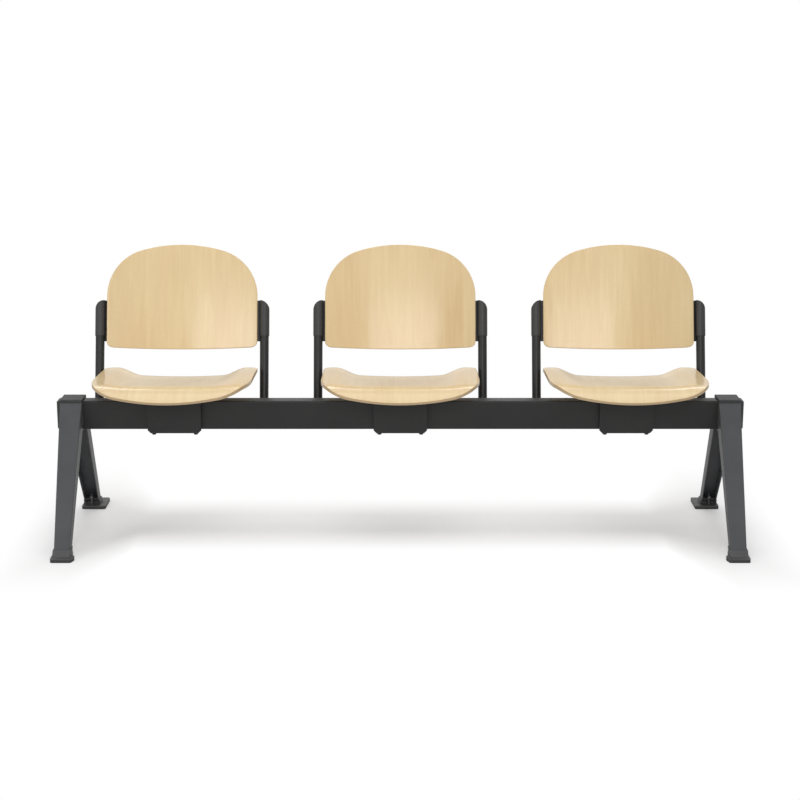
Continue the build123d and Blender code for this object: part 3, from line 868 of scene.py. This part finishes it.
def noise(tree, vector, scale, detail=2.0, roughness=0.5, distortion=0.0):
    made = add(tree, "ShaderNodeTexNoise")
    link(tree, vector, made.inputs["Vector"])
    feed(tree, made.inputs["Scale"], scale)
    made.inputs["Detail"].default_value = detail
    made.inputs["Roughness"].default_value = roughness
    made.inputs["Distortion"].default_value = distortion
    return made.outputs[0]


def grain(tree, sheet, cells, shift=(0, 0), **settings):
    """Noise drawn out on the veneer sheet, with so many cells in a metre across it and along it."""
    made = add(tree, "ShaderNodeMapping")
    link(tree, sheet, made.inputs["Vector"])
    made.inputs["Scale"].default_value = (*cells, 1)
    made.inputs["Location"].default_value = (*shift, 0)
    return noise(tree, made.outputs[0], 1.0, **settings)


def split_axes(tree, vector):
    made = add(tree, "ShaderNodeSeparateXYZ")
    link(tree, vector, made.inputs[0])
    return made.outputs


def object_place(tree):
    return add(tree, "ShaderNodeTexCoord").outputs["Object"]


def new_group(name, inputs, outputs):
    tree = bpy.data.node_groups.new(name, "ShaderNodeTree")
    for socket, kind in inputs.items():
        tree.interface.new_socket(socket, in_out="INPUT", socket_type=kind)
    for socket in outputs:
        tree.interface.new_socket(socket, in_out="OUTPUT", socket_type="NodeSocketFloat")
    return tree, add(tree, "NodeGroupInput").outputs, add(tree, "NodeGroupOutput").inputs


def place_group(tree, group, **values):
    made = add(tree, "ShaderNodeGroup", node_tree=group)
    for name, value in values.items():
        feed(tree, made.inputs[name], value)
    return made.outputs


def new_material(name):
    material = bpy.data.materials.new(name)
    material.use_nodes = True
    return material, material.node_tree, material.node_tree.nodes["Principled BSDF"]


def bump(tree, shader, height, strength, distance):
    made = add(tree, "ShaderNodeBump")
    made.inputs["Strength"].default_value = strength
    made.inputs["Distance"].default_value = distance
    link(tree, height, made.inputs["Height"])
    link(tree, made.outputs[0], shader.inputs["Normal"])


# Node groups


def veneer_group():
    outputs = ("Tone", "Blush", "Fleck", "Height")
    tree, given, out = new_group("beech_figure", {"Sheet": "NodeSocketVector"}, outputs)
    sheet = given["Sheet"]
    drift = grain(tree, sheet, (9, 2.2))
    streak = grain(tree, sheet, (70, 5.5), (3, 7), detail=3.0, roughness=0.55, distortion=0.3)
    fine = grain(tree, sheet, (520, 9), (11, 2), detail=3.0, roughness=0.6, distortion=0.2)
    dash = grain(tree, sheet, (900, 130), (5, 5), detail=1.0, roughness=0.4)
    blush = grain(tree, sheet, (14, 3.5), (8, 1))
    leaf = add(tree, "ShaderNodeTexVoronoi", voronoi_dimensions="1D")
    wander = calc(tree, "MULTIPLY", drift, LEAF_WANDER)
    feed(tree, leaf.inputs["W"], calc(tree, "ADD", split_axes(tree, sheet)[0], wander))
    leaf.inputs["Scale"].default_value = LEAVES_IN_METRE
    leaf_tone = add(tree, "ShaderNodeSeparateColor")
    link(tree, leaf.outputs["Color"], leaf_tone.inputs[0])
    parts = list(zip((drift, streak, fine, leaf_tone.outputs[0]), FIGURE_SHARES))
    total = calc(tree, "MULTIPLY", *parts[0])
    for value, share in parts[1:]:
        total = calc(tree, "ADD", total, calc(tree, "MULTIPLY", value, share))
    link(tree, spread_range(tree, total, *TONE_RANGE), out["Tone"])
    link(tree, spread_range(tree, dash, *FLECK_RANGE), out["Fleck"])
    link(tree, spread_range(tree, blush, *BLUSH_RANGE), out["Blush"])
    link(tree, fine, out["Height"])
    return tree


def ply_edge_group():
    inputs = {"Depth": "NodeSocketFloat", "Sheet": "NodeSocketVector"}
    tree, given, out = new_group("ply_edge", inputs, ("Edge", "Cross", "Glue"))
    depth = given["Depth"]
    wander = calc(tree, "MULTIPLY", grain(tree, given["Sheet"], (260, 260)), PLY_WANDER)
    layer = calc(tree, "DIVIDE", calc(tree, "ADD", depth, wander), PLY * MM / PLY_LAYERS)
    pair = calc(tree, "FRACT", calc(tree, "MULTIPLY", layer, 0.5))
    link(tree, calc(tree, "GREATER_THAN", pair, 0.5), out["Cross"])
    near = calc(tree, "ABSOLUTE", calc(tree, "SUBTRACT", calc(tree, "FRACT", layer), 0.5))
    link(tree, spread_range(tree, near, *GLUE_RANGE), out["Glue"])
    lip = calc(tree, "MINIMUM", depth, calc(tree, "SUBTRACT", PLY * MM, depth))
    link(tree, spread_range(tree, lip, *EDGE_RANGE), out["Edge"])
    return tree


def stipple_group():
    inputs = {"Place": "NodeSocketVector", "Grain": "NodeSocketFloat"}
    tree, given, out = new_group("stipple", inputs, ("Height", "Cloud", "Speck"))
    place = given["Place"]
    link(tree, noise(tree, place, given["Grain"]), out["Height"])
    cloud = noise(tree, place, CLOUD_SCALE, detail=4.0, roughness=0.6)
    link(tree, spread_range(tree, cloud, *CLOUD_RANGE), out["Cloud"])
    specks = noise(tree, place, SPECK_SCALE, detail=1.0)
    link(tree, spread_range(tree, specks, *SPECK_RANGE), out["Speck"])
    return tree


# Finishes


def beech_plywood():
    material, tree, shader = new_material("beech_plywood")
    sheet = add(tree, "ShaderNodeUVMap", uv_map="veneer").outputs[0]
    depth = add(tree, "ShaderNodeAttribute", attribute_name="ply_depth").outputs["Fac"]
    figure = place_group(tree, VENEER, Sheet=sheet)
    edge = place_group(tree, PLY_EDGE, Depth=depth, Sheet=sheet)
    face = blend_colour(tree, figure["Tone"], BEECH_DARK, BEECH_LIGHT)
    face = blend_colour(tree, calc(tree, "MULTIPLY", figure["Blush"], BLUSH_SHARE), face, BEECH_BLUSH)
    face = blend_colour(tree, calc(tree, "MULTIPLY", figure["Fleck"], FLECK_SHARE), face, BEECH_FLECK)
    layers = blend_colour(tree, edge["Cross"], PLY_LENGTHWISE, PLY_CROSSWISE)
    layers = blend_colour(tree, calc(tree, "MULTIPLY", edge["Glue"], GLUE_SHARE), layers, PLY_GLUE)
    link(tree, blend_colour(tree, edge["Edge"], face, layers), shader.inputs["Base Color"])
    rough = spread_range(tree, figure["Tone"], 0.0, 1.0, *LACQUER_ROUGH)
    rough = calc(tree, "ADD", rough, calc(tree, "MULTIPLY", edge["Edge"], EDGE_ROUGHER))
    link(tree, rough, shader.inputs["Roughness"])
    shader.inputs["Coat Weight"].default_value = LACQUER_COAT
    shader.inputs["Coat Roughness"].default_value = LACQUER_COAT_ROUGH
    bump(tree, shader, figure["Height"], strength=0.12, distance=0.0003)
    return material


def swing_roughness(tree, shader, value, rough, swing, low=0.0, high=1.0):
    around = spread_range(tree, value, low, high, rough + swing[0], rough + swing[1])
    link(tree, around, shader.inputs["Roughness"])


def powder_coat(name, dark, light, rough):
    material, tree, shader = new_material(name)
    shader.inputs["Specular IOR Level"].default_value = COAT_SPECULAR
    peel = place_group(tree, STIPPLE, Place=object_place(tree), Grain=COAT_GRAIN)
    colour = blend_colour(tree, peel["Cloud"], dark, light)
    speck = calc(tree, "MULTIPLY", peel["Speck"], SPECK_SHARE)
    link(tree, blend_colour(tree, speck, colour, SPECK_COLOUR), shader.inputs["Base Color"])
    swing_roughness(tree, shader, peel["Cloud"], rough, COAT_SWING)
    bump(tree, shader, peel["Height"], strength=0.2, distance=0.0002)
    return material


def moulded_plastic(name, dark, light, rough, sole=None):
    """sole is the colour of a darker band round the foot, next to the floor."""
    material, tree, shader = new_material(name)
    place = object_place(tree)
    texture = place_group(tree, STIPPLE, Place=place, Grain=PLASTIC_GRAIN)
    colour = blend_colour(tree, texture["Cloud"], dark, light)
    if sole:
        band = spread_range(tree, split_axes(tree, place)[2], *SOLE_BAND, 1.0, 0.0)
        colour = blend_colour(tree, band, colour, sole)
    link(tree, colour, shader.inputs["Base Color"])
    swing_roughness(tree, shader, texture["Cloud"], rough, PLASTIC_SWING)
    bump(tree, shader, texture["Height"], strength=0.35, distance=0.0002)
    return material


def plated_steel(name, dark, light, rough):
    material, tree, shader = new_material(name)
    plate = place_group(tree, STIPPLE, Place=object_place(tree), Grain=PLATE_GRAIN)
    link(tree, blend_colour(tree, plate["Cloud"], dark, light), shader.inputs["Base Color"])
    swing_roughness(tree, shader, plate["Height"], rough, PLATE_SWING, *PLATE_RANGE)
    shader.inputs["Metallic"].default_value = 1.0
    bump(tree, shader, plate["Height"], strength=0.1, distance=0.0001)
    return material


VENEER = veneer_group()
PLY_EDGE = ply_edge_group()
STIPPLE = stipple_group()
BEECH = beech_plywood()
BEAM_COAT = powder_coat("black_powder_coat", (0.0125, 0.0128, 0.0128, 1), (0.018, 0.0184, 0.0184, 1), 0.42)
LEG_COAT = powder_coat("dark_grey_powder_coat", (0.064, 0.066, 0.07, 1), (0.084, 0.087, 0.092, 1), 0.45)
# Painted shade: the saddle wears the legs' paint, given a darker colour here so that its level top looks
# shaded
SADDLE_SHADED_COAT = powder_coat("saddle_coat_painted_shade", (0.024, 0.0245, 0.025, 1), (0.032, 0.0325, 0.033, 1), 0.55)
SLEEVE_PLASTIC = moulded_plastic("black_moulding", (0.026, 0.026, 0.026, 1), (0.034, 0.034, 0.034, 1), 0.5)
FOOT_PLASTIC = moulded_plastic(
    "foot_moulding", (0.064, 0.064, 0.066, 1), (0.082, 0.082, 0.085, 1), 0.55, (0.03, 0.03, 0.031, 1)
)
ZINC = plated_steel("zinc_plate", (0.42, 0.43, 0.44, 1), (0.58, 0.58, 0.57, 1), 0.34)
DULL_ZINC = plated_steel("dull_zinc", (0.1, 0.1, 0.1, 1), (0.2, 0.2, 0.195, 1), 0.45)
BLACK_STEEL = plated_steel("blackened_steel", (0.03, 0.03, 0.03, 1), (0.06, 0.06, 0.06, 1), 0.4)

FINISHES = {
    "beam_end_cap": SLEEVE_PLASTIC,
    "beam": BEAM_COAT,
    "front_leg": LEG_COAT,
    "rear_leg": LEG_COAT,
    "saddle": SADDLE_SHADED_COAT,
    "leg_tie_plate": LEG_COAT,
    "front_foot": FOOT_PLASTIC,
    "rear_foot": FOOT_PLASTIC,
    "leg_tie_bolts": BLACK_STEEL,
    "foot_studs": DULL_ZINC,
    "seat_panel": BEECH,
    "seat_carrier": BEAM_COAT,
    "beam_bracket": BEAM_COAT,
    "clamp_plate": BEAM_COAT,
    "back_frame": BEAM_COAT,
    "back_panel": BEECH,
    "sleeve_left": SLEEVE_PLASTIC,
    "sleeve_right": SLEEVE_PLASTIC,
    "clamp_bolts": BLACK_STEEL,
    "clamp_nuts": BLACK_STEEL,
    "seat_screws": ZINC,
    "back_screws": ZINC,
}

FASTENER_SLOTS = {
    "clamp_bolt": "black_steel",
    "clamp_nut": "black_steel",
    "leg_tie_bolt": "black_steel",
    "seat_screw": "zinc_steel",
    "back_screw": "zinc_steel",
    "foot_stud": "zinc_steel",
}


def paint_nodes():
    for name, node in NODES.items():
        longest = max((key for key in FINISHES if name == key or name.startswith(key + "_")), key=len)
        node.data.materials.clear()
        node.data.materials.append(FINISHES[longest])


# Room, light and camera


def outside_shadow(tree, place):
    """0 where the bench's shadow lies on the floor, 1 away from it."""
    x, y, _ = split_axes(tree, place)
    aside = calc(tree, "ABSOLUTE", x)
    deep = calc(tree, "ABSOLUTE", calc(tree, "SUBTRACT", y, SHADOW_MIDDLE))
    by_foot = spread_range(tree, aside, *FOOT_REACH, 0.0, FOOT_WIDENING)
    start = calc(tree, "MULTIPLY_ADD", by_foot, FOOT_START, SHADOW_DEPTH[0])
    end = calc(tree, "ADD", by_foot, SHADOW_DEPTH[1])
    behind = spread_range(tree, deep, start, end)
    beside = spread_range(tree, aside, *SHADOW_WIDTH)
    return calc(tree, "SMOOTH_MAX", behind, beside, SHADOW_BLEND)


def pale_floor():
    material, tree, shader = new_material("pale_floor")
    place = object_place(tree)
    colour = blend_colour(tree, noise(tree, place, 3.0, detail=3.0), FLOOR_DARK, FLOOR_LIGHT)
    link(tree, colour, shader.inputs["Base Color"])
    shader.inputs["Roughness"].default_value = FLOOR_ROUGH
    shader.inputs["Specular IOR Level"].default_value = FLOOR_SPECULAR
    seen = add(tree, "ShaderNodeLightPath").outputs["Is Camera Ray"]
    lift = add(tree, "ShaderNodeEmission")
    link(tree, calc(tree, "MULTIPLY", seen, FLOOR_LIFT), lift.inputs["Strength"])
    lifted = add(tree, "ShaderNodeAddShader")
    link(tree, shader.outputs[0], lifted.inputs[0])
    link(tree, lift.outputs[0], lifted.inputs[1])
    white = add(tree, "ShaderNodeEmission")
    mixed = add(tree, "ShaderNodeMixShader")
    link(tree, calc(tree, "MULTIPLY", seen, outside_shadow(tree, place)), mixed.inputs[0])
    link(tree, lifted.outputs[0], mixed.inputs[1])
    link(tree, white.outputs[0], mixed.inputs[2])
    link(tree, mixed.outputs[0], tree.nodes["Material Output"].inputs["Surface"])
    return material


def floor():
    start_fresh()
    bpy.ops.mesh.primitive_plane_add(size=FLOOR_SIZE)
    plane = bpy.context.object
    plane.name = "studio_floor"
    plane.data.materials.append(pale_floor())


def room_light():
    world = bpy.data.worlds.new("studio")
    world.use_nodes = True
    bpy.context.scene.world = world
    tree = world.node_tree
    path = add(tree, "ShaderNodeLightPath").outputs
    shown = calc(tree, "MAXIMUM", path["Is Camera Ray"], path["Is Transmission Ray"])
    shine = calc(tree, "MULTIPLY", path["Is Glossy Ray"], ROOM_SHINE)
    strength = calc(tree, "MAXIMUM", shown, calc(tree, "ADD", shine, ROOM_LIGHT))
    background = tree.nodes["Background"]
    background.inputs["Color"].default_value = (1, 1, 1, 1)
    link(tree, strength, background.inputs["Strength"])


def softbox(name, place, aim, width, height, power):
    lamp = bpy.data.lights.new(name, "AREA")
    lamp.shape = "RECTANGLE"
    lamp.size = width
    lamp.size_y = height
    lamp.energy = power
    made = bpy.data.objects.new(name, lamp)
    bpy.context.scene.collection.objects.link(made)
    made.location = place
    made.rotation_euler = (Vector(aim) - Vector(place)).to_track_quat("-Z", "Y").to_euler()


def camera():
    lens = bpy.data.cameras.new("photo_camera")
    lens.lens = CAMERA_LENS
    lens.sensor_width = CAMERA_FILM
    lens.shift_x, lens.shift_y = CAMERA_SHIFT
    made = bpy.data.objects.new("photo_camera", lens)
    bpy.context.scene.collection.objects.link(made)
    made.location = CAMERA_PLACE
    made.rotation_euler = (math.radians(90 - CAMERA_PITCH), 0, 0)
    bpy.context.scene.camera = made


# The bench, put together


def seat_middle(where):
    lo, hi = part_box("seat_panel_" + where)
    return (lo.x + hi.x) / 2


SEAT_SIDES = seat_sides()
BACK_SIDES = back_sides()
for where in SEATS:
    middle = seat_middle(where)
    dress(seat_shell(middle), "seat_shell_" + where, BEECH, "plywood", "seat_panel_" + where)
    dress(back_shell(middle), "back_shell_" + where, BEECH, "plywood", "back_panel_" + where)
MASTERS = make_masters()
for where in SEATS:
    seat_fasteners(where, seat_middle(where))
for where, side in ENDS.items():
    end_fasteners(where, side * LEG_X)
for where, side in ENDS.items():
    for end, (outline, fix, heel, way) in BOOTS.items():
        node = end + "_foot_" + where
        home = at(side * LEG_X, 0, 0) @ Matrix.Diagonal((-side, way, 1, 1))
        boot = flared_boot(node, home, outline, fix, heel)
        dress(boot, end + "_boot_" + where, FOOT_PLASTIC, "foot_plastic", node)
for master in MASTERS.values():
    bpy.data.objects.remove(master)
paint_nodes()
floor()
room_light()
for name, settings in SOFTBOXES.items():
    softbox(name, *settings)
camera()
bpy.context.scene.view_settings.view_transform = "Standard"
